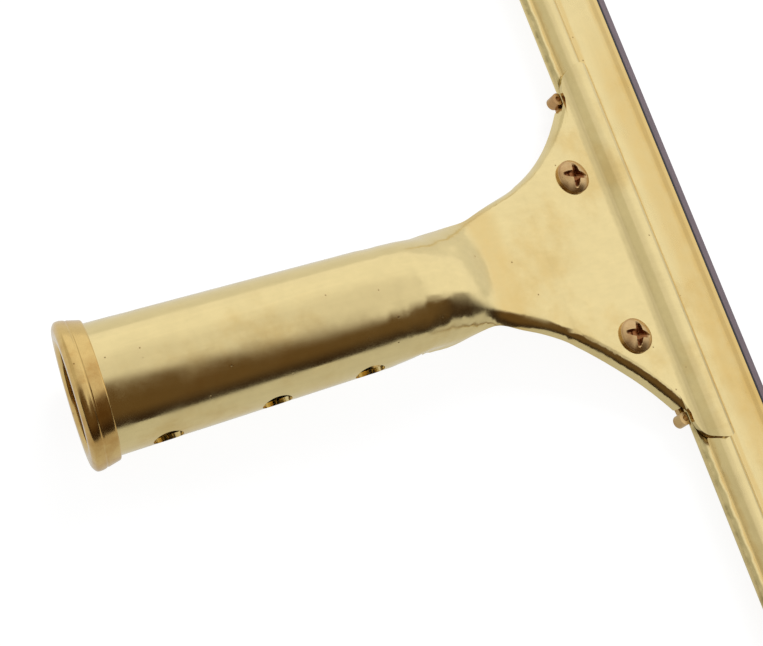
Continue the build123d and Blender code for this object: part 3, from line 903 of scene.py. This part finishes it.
# ------------------------------------------------------------------ clamp
@dataclass
class Clamp:
    """Clamp plate under the head and the two screws that draw it up."""

    screw_x: float = 22.3
    screw_t: float = 37.7
    head_radius: float = 4.6
    head_height: float = 2.3
    length: float = 9.0
    thread_radius: float = 2.08
    pitch: float = 0.794
    recess_length: float = 7.2
    recess_width: float = 1.75
    recess_depth: float = 1.7
    turns: tuple[float, float] = (-13.5, -19.0)
    thread_depth: float = 0.46
    dome_rows: int = 70
    shank_rows: int = 132
    columns: int = 144
    plate_finish: BrassFinish = field(default_factory=lambda: BrassFinish(
        "plate_brass_worn", clean=(0.66, 0.45, 0.20), tarnish=(0.42, 0.22, 0.09), tarnish_share=0.75,
        tarnish_low=0.42, tarnish_high=0.64, tarnish_scale=90.0,
        gloss_low=0.2, gloss_high=0.36, offset=8.0))
    screw_finish: BrassFinish = field(default_factory=lambda: BrassFinish(
        "screw_bronze_worn", clean=(0.66, 0.45, 0.215), tarnish=(0.42, 0.20, 0.075), tarnish_scale=160.0,
        # This colour is painted shade for the cross recess and the ring round the rim.
        recess_shade_colour=(0.27, 0.10, 0.035),
        tarnish_share=0.6, grain=Grain.NONE, pit_scale=900.0, gloss_low=0.22, gloss_high=0.4,
        waviness=0.05, offset=2.0))

    def build(self) -> None:
        """Make and dress the plate and both screws."""
        plate = welded_copy("clamp_plate", "clamp_jaw", 34.0)
        fit_piece(plate, Body.LOWER_JAW, Slot.PLATE, self.plate_finish.build(), "clamp_plate")
        finish = self.screw_finish.build()
        names, bodies = ("left", "right"), (Body.LEFT_SCREW, Body.RIGHT_SCREW)
        for side, turn, name, body in zip((-1, 1), self.turns, names, bodies):
            screw = self.screw(side, turn, f"cross_screw_{name}")
            fit_piece(screw, body, Slot.SCREW, finish, f"clamp_screw_{name}")

    def profile(self) -> tuple[np.ndarray, np.ndarray]:
        """Outline of the screw from the middle of its head to its tip.

        Returns:
            Radius and height of each row, the dome's rows first.
        """
        rise = 0.7 * self.head_height
        sphere = (self.head_radius**2 + rise**2) / (2 * rise)
        dome_r = np.linspace(0.02, self.head_radius - 0.15, self.dome_rows)
        dome_h = self.head_height - sphere + np.sqrt(sphere**2 - dome_r**2)
        edge_h = dome_h[-1]
        skirt = rounded(np.array([
            (self.head_radius - 0.15, edge_h), (self.head_radius, edge_h - 0.1), (self.head_radius, 0.0),
            (self.thread_radius, 0.0), (self.thread_radius, 0.5), (self.thread_radius, edge_h)]),
            np.array([0.05, 0.1, 0.08, 0.05, 0.05, 0.05]), 4)[2:16]
        shank_h = np.linspace(-0.02, -self.length + 0.5, self.shank_rows)
        shank_r = np.full_like(shank_h, self.thread_radius)
        tip_h = np.array([-self.length + 0.25, -self.length, -self.length])
        tip_r = np.array([self.thread_radius - 0.3, self.thread_radius - 0.5, 0.02])
        return (np.concatenate([dome_r, skirt[:, 0], shank_r, tip_r]),
                np.concatenate([dome_h, skirt[:, 1], shank_h, tip_h]))

    def screw(self, side: int, turn: float, name: str) -> bpy.types.Object:
        """One pan head screw.

        The point (i, j) is (r cos a, r sin a, h). On the dome h is lowered by the deeper of two
        crossing grooves, each a depth along its arm times a smooth width. On the shank r is
        lowered by a triangle wave of height minus turn, which is the thread.

        Args:
            side: -1 on the left and 1 on the right.
            turn: turn of the recess in degrees.
            name: name of the piece.

        Returns:
            The screw.
        """
        radius, height = self.profile()
        angle = np.linspace(0.0, 2 * np.pi, self.columns, endpoint=False)
        r = np.repeat(radius[:, None], len(angle), axis=1)
        h = np.repeat(height[:, None], len(angle), axis=1)
        a = np.broadcast_to(angle, r.shape)
        on_dome = np.zeros(r.shape)
        on_dome[:self.dome_rows] = 1.0
        u = r * np.cos(a - math.radians(turn))
        v = r * np.sin(a - math.radians(turn))
        depth = np.maximum(self.groove(np.abs(u), np.abs(v)), self.groove(np.abs(v), np.abs(u)))
        h = h - on_dome * depth
        on_shank = ((h < -0.4) & (h > -self.length + 0.2) & (on_dome == 0)).astype(float)
        wave = np.abs(((h / self.pitch - a / (2 * np.pi)) % 1.0) - 0.5) * 2.0
        r = r - on_shank * self.thread_depth * smoothstep(0.1, 0.9, wave)
        points = np.stack([r * np.cos(a), r * np.sin(a), h], axis=-1)
        points = points + np.array([side * self.screw_x, self.screw_t, 0.0])
        faces = capped_faces(len(radius), len(angle))
        piece = mesh_object(name, HEAD.place(points), faces, 50.0)
        recalculate_outwards(piece)
        # Painted shade: the attribute darkens the cross recess by its depth and paints a shadow ring round the
        # dome's rim.
        rim = on_dome * smoothstep(0.86, 1.0, r / self.head_radius) * 0.55
        write_shade(piece, "grime", np.maximum(on_dome * smoothstep(0.15, 0.8, depth), rim))
        return piece

    def groove(self, along: np.ndarray, across: np.ndarray) -> np.ndarray:
        """Depth of one arm of the recess: full in the middle, half near its end, narrowing outwards.

        Args:
            along: distance from the middle along the arm.
            across: distance from the arm's middle line.

        Returns:
            The depth.
        """
        length, width, deepest = self.recess_length, self.recess_width, self.recess_depth
        depth = np.interp(along, [0.0, 0.14 * length, 0.36 * length, 0.5 * length],
                          [deepest, deepest, 0.5 * deepest, 0.0])
        half = np.interp(along, [0.0, 0.3 * length, 0.5 * length],
                         [0.62 * width, 0.42 * width, 0.14 * width])
        return depth * (1.0 - smoothstep(-0.08, 0.08, across - half))


# ------------------------------------------------------------------ channel and rubber
@dataclass
class Channel:
    """Roll-formed channel and the rubber in it, on the head's centre line at (t, n)."""

    centre: tuple[float, float] = (52.0, -2.15)
    length: float = 305.0
    strip: float = 0.8
    bead: float = 3.6
    slot_half: float = 1.15
    tail: float = 6.6
    lip_start: float = 14.2
    lip_end: float = 16.4
    lip_flare: float = 0.6
    root: float = 0.5
    web_half: float = 1.1
    bulb: float = 2.3
    reach: float = 20.2
    rows: int = 62
    dust_and_sheen_stations: tuple[float, float] = (2.15, 1.65)
    finish: BrassFinish = field(default_factory=lambda: BrassFinish(
        "channel_brass_worn", grain=Grain.ALONG_X, grain_depth=0.04, gloss_low=0.15, gloss_high=0.3,
        tarnish_share=0.6, offset=6.0, bands=(
            # The first band, at 46.4, is painted shade on the channel's tail under the jaw's edge; the others are
            # tarnish.
            Band(46.4, 1.1, 0.85, TAIL_SHADE), Band(48.3, 0.9, 0.5, AMBER), Band(56.0, 1.3, 0.45, AMBER),
            Band(67.4, 3.0, 0.5, AMBER), Band(64.0, 7.0, 0.45, AMBER, 62.0))))
    clip_finish: BrassFinish = field(default_factory=lambda: BrassFinish(
        "clip_brass_worn", tarnish_share=0.5, gloss_low=0.2, gloss_high=0.35, offset=1.0))
    rubber_finish: RubberFinish = field(default_factory=RubberFinish)

    def build(self) -> None:
        """Make and dress the channel, the rubber and the end clips."""
        stations = np.linspace(-self.length / 2, self.length / 2, self.rows)
        centre = np.array(self.centre)
        channel = extrude_outline("folded_channel", self.section() + centre, stations, HEAD, 30.0)
        fit_piece(channel, Body.CHANNEL, Slot.CHANNEL, self.finish.build(), "channel")
        rubber = extrude_outline("wiping_rubber", self.rubber_section() + centre, stations, HEAD, 30.0)
        self.dust(rubber)
        fit_piece(rubber, Body.RUBBER, Slot.RUBBER, self.rubber_finish.build(), "rubber_blade")
        material = self.clip_finish.build()
        for name, body in (("left", Body.LEFT_CLIP), ("right", Body.RIGHT_CLIP)):
            clip = welded_copy(f"end_clip_{name}", f"spring_clip_{name}", 34.0)
            fit_piece(clip, body, Slot.CLIP, material, f"end_clip_{name}")

    def upper_half(self) -> np.ndarray:
        """Outer line of the upper half, from the lip's end back to the tail's middle.

        A concave fillet between a level line and the bead has its middle at distance
        bead + root from the bead's middle and root above the line.

        Returns:
            Array (n, 2) of distance from the bead's middle and height.
        """
        wall = self.slot_half + self.strip
        flared = wall + self.lip_flare
        lips = np.array([(self.lip_end, flared - 0.12), (self.lip_end - 0.12, flared),
                         (self.lip_start + 1.0, flared), (self.lip_start + 0.75, flared - 0.08),
                         (self.lip_start + 0.1, wall + 0.09), (self.lip_start - 0.25, wall)])
        reach = self.bead + self.root
        front = (math.sqrt(reach**2 - (wall + self.root) ** 2), wall + self.root)
        rear = (-math.sqrt(reach**2 - (self.strip + self.root) ** 2), self.strip + self.root)
        front_angle = math.degrees(math.atan2(front[1], front[0]))
        rear_angle = math.degrees(math.atan2(rear[1], rear[0]))
        front_root = arc(front, self.root, 270.0, 180.0 + front_angle, 8)
        crown = arc((0.0, 0.0), self.bead, front_angle, rear_angle, 56)[1:-1]
        rear_root = arc(rear, self.root, rear_angle - 180.0, -90.0, 8)
        fold = arc((-self.tail + self.strip, 0.0), self.strip, 90.0, 180.0, 12)
        return np.concatenate([lips, front_root, crown, rear_root, fold])

    def section(self) -> np.ndarray:
        """Whole section: the upper outer line, its mirror image, and the inner line round the slot.

        Returns:
            Closed outline, array (n, 2).
        """
        upper = self.upper_half()
        lower = (upper * np.array([1.0, -1.0]))[::-1][1:]
        inner_radius = self.bead - self.strip
        open_angle = math.degrees(math.asin(self.slot_half / inner_radius))
        flared = self.slot_half + self.lip_flare
        lip_in = np.array([(self.lip_end, -flared + 0.1), (self.lip_end - 0.1, -flared),
                           (self.lip_start + 1.15, -flared),
                           (self.lip_start + 0.4, -self.slot_half - 0.06),
                           (self.lip_start + 0.1, -self.slot_half)])
        hollow = arc((0.0, 0.0), inner_radius, 360.0 - open_angle, open_angle, 48)
        lip_out = (lip_in * np.array([1.0, -1.0]))[::-1]
        return np.concatenate([upper, lower, lip_in, hollow, lip_out])

    def rubber_section(self) -> np.ndarray:
        """Section of the rubber: a round bulb, a web and a square wiping edge with crisp corners.

        Returns:
            Closed outline, array (n, 2).
        """
        open_angle = math.degrees(math.asin(self.web_half / self.bulb))
        bulb = arc((0.0, 0.0), self.bulb, open_angle, 360.0 - open_angle, 48)
        tip = self.reach
        along = np.concatenate([np.linspace(6.0, tip - 2.4, 4), np.linspace(tip - 2.2, tip - 1.6, 7)])
        under = np.concatenate([np.stack([along, np.full_like(along, -self.web_half)], axis=1),
                                [(tip - 0.08, -self.web_half), (tip, -self.web_half + 0.08)]])
        over = (under * np.array([1.0, -1.0]))[::-1]
        return np.concatenate([bulb, under, over])

    def dust(self, rubber: bpy.types.Object) -> None:
        """Write how much grey each point takes, dust and painted sheen together: a smooth ramp towards the wiping
        edge.

        Args:
            rubber: the blade.
        """
        local = HEAD.measure(read_places(rubber), HEAD.along) - self.centre[0]
        clean_to, dusty_from = self.dust_and_sheen_stations
        write_shade(rubber, "dust", smoothstep(self.reach - clean_to, self.reach - dusty_from, local))


# ------------------------------------------------------------------ studio
@dataclass
class Studio:
    """Pale floor, soft lamps, a bright room with one dark side, and the camera."""

    eye: tuple[float, float, float] = (0.12277, -0.13704, 0.45591)
    target: tuple[float, float, float] = (0.00382, -0.00993, 0.02245)
    upward: tuple[float, float, float] = (-0.90941, 0.25891, 0.32549)
    lens: float = 92.0
    border: tuple[tuple[float, float], tuple[float, float]] = ((0.05, 0.05), (0.217, 0.62))
    border_return: tuple[tuple[float, float], tuple[float, float]] = ((0.22, 0.0), (0.56, 0.38))
    border_half: float = 0.16
    room_strength: float = 0.55
    floor_half: float = 3.0
    floor_glow: float = 0.87
    bright_colour: Colour = (1.0, 1.0, 1.0)
    zenith_colour: Colour = (0.82, 0.81, 0.80)
    floor_left: Colour = (0.80, 0.80, 0.78)
    floor_painted_shadow: Colour = (0.62, 0.62, 0.60)
    dim_colour: Colour = (0.68, 0.67, 0.62)
    dark_colour: Colour = (0.13, 0.08, 0.033)
    low_colour: Colour = (0.04, 0.025, 0.015)

    def build(self) -> None:
        """Set up everything that isn't the tool."""
        self.floor()
        self.lamps()
        self.world()
        self.camera()
        bpy.context.scene.view_settings.view_transform = "Standard"

    def floor(self) -> None:
        """A plain white floor that keeps the shadow. Metal sees it as a grey glow, darker on the +x side, where
        that is a painted shadow of the tool.
        """
        half = self.floor_half
        corners = half * np.array([(-1, -1, 0), (1, -1, 0), (1, 1, 0), (-1, 1, 0)], float)
        plane = mesh_object("floor", corners, [[0, 1, 2, 3]])
        shader = Shader("floor_paper")
        rays = shader.node("LightPath").outputs
        seen = shader.maths("ADD", rays["Is Camera Ray"], rays["Is Transmission Ray"], clamp=True)
        paper = shader.node("BsdfDiffuse", Color=(0.22, 0.22, 0.22, 1.0))
        glow = shader.node("Emission", Color=WHITE, Strength=self.floor_glow)
        lit = shader.node("AddShader", i0=paper.outputs[0], i1=glow.outputs[0])
        plain = shader.node("BsdfDiffuse", Color=(0.8, 0.8, 0.8, 1.0))
        # Painted shadow: metal mirrors the floor as a grey glow that is darker on the +x side, as if the tool
        # shaded it.
        across = shader.node("SeparateXYZ", Vector=shader.position()).outputs["X"]
        shade = shader.blend(shader.ramp(across, -0.06, 0.06), self.floor_left, self.floor_painted_shadow)
        grey = shader.node("Emission", Color=shade, Strength=1.0)
        mix = shader.choose(rays["Is Glossy Ray"], shader.choose(seen, plain, lit), grey)
        plane.data.materials.append(shader.surface(mix.outputs[0]))

    def lamps(self) -> None:
        """Two large soft lamps that metal doesn't mirror."""
        rows = (("key", (-0.7, 0.5, 0.9), 0.8, 9.0), ("fill", (0.8, -0.3, 1.0), 0.9, 4.0))
        for name, place, size, power in rows:
            data = bpy.data.lights.new(name, "AREA")
            data.size = size
            data.energy = power
            lamp = link(name, data)
            lamp.location = place
            lamp.rotation_euler = (-Vector(place)).to_track_quat("-Z", "Y").to_euler()
            lamp.visible_glossy = False

    def world(self) -> None:
        """A white room. Metal sees it dark on the right, past a border that turns away to the front."""
        world = bpy.data.worlds.new("room")
        bpy.context.scene.world = world
        world.use_nodes = True
        room = Nodes(world.node_tree)
        x, y, z = room.node("SeparateXYZ", i0=room.node("TexCoord").outputs["Generated"]).outputs
        bright = room.blend(room.ramp(z, 0.6, 1.0), self.bright_colour, self.zenith_colour)
        bright = room.blend(room.ramp(y, 0.05, -0.15), bright, self.dim_colour)
        dark = room.blend(room.ramp(z, 0.5, 0.12), self.dark_colour, self.low_colour)
        edge = room.maths("SUBTRACT", room.line(y, *self.border), room.line(y, *self.border_return))
        past = room.maths("SUBTRACT", x, edge)
        walls = room.blend(room.ramp(past, -self.border_half, self.border_half), bright, dark)
        mirrored = room.node("Background", Color=walls)
        plain = room.node("Background", Strength=self.room_strength)
        white = room.node("Background", Color=WHITE)
        rays = room.node("LightPath").outputs
        light = room.choose(rays["Is Glossy Ray"], plain, mirrored)
        light = room.choose(rays["Is Camera Ray"], light, white)
        room.node("OutputWorld", Surface=light.outputs[0])

    def camera(self) -> None:
        """The camera looks down on the head from behind the handle."""
        data = bpy.data.cameras.new("camera")
        data.lens = self.lens
        data.sensor_width = 36.0
        data.clip_start = 0.01
        camera = link("camera", data)
        back = (Vector(self.eye) - Vector(self.target)).normalized()
        right = Vector(self.upward).cross(back).normalized()
        up = back.cross(right)
        turn = Matrix((right, up, back)).transposed().to_4x4()
        camera.matrix_world = Matrix.Translation(self.eye) @ turn
        bpy.context.scene.camera = camera


def main() -> None:
    """Build the tool and the studio."""
    Handle().build()
    Clamp().build()
    Channel().build()
    Studio().build()


if __name__ == "__main__":
    main()
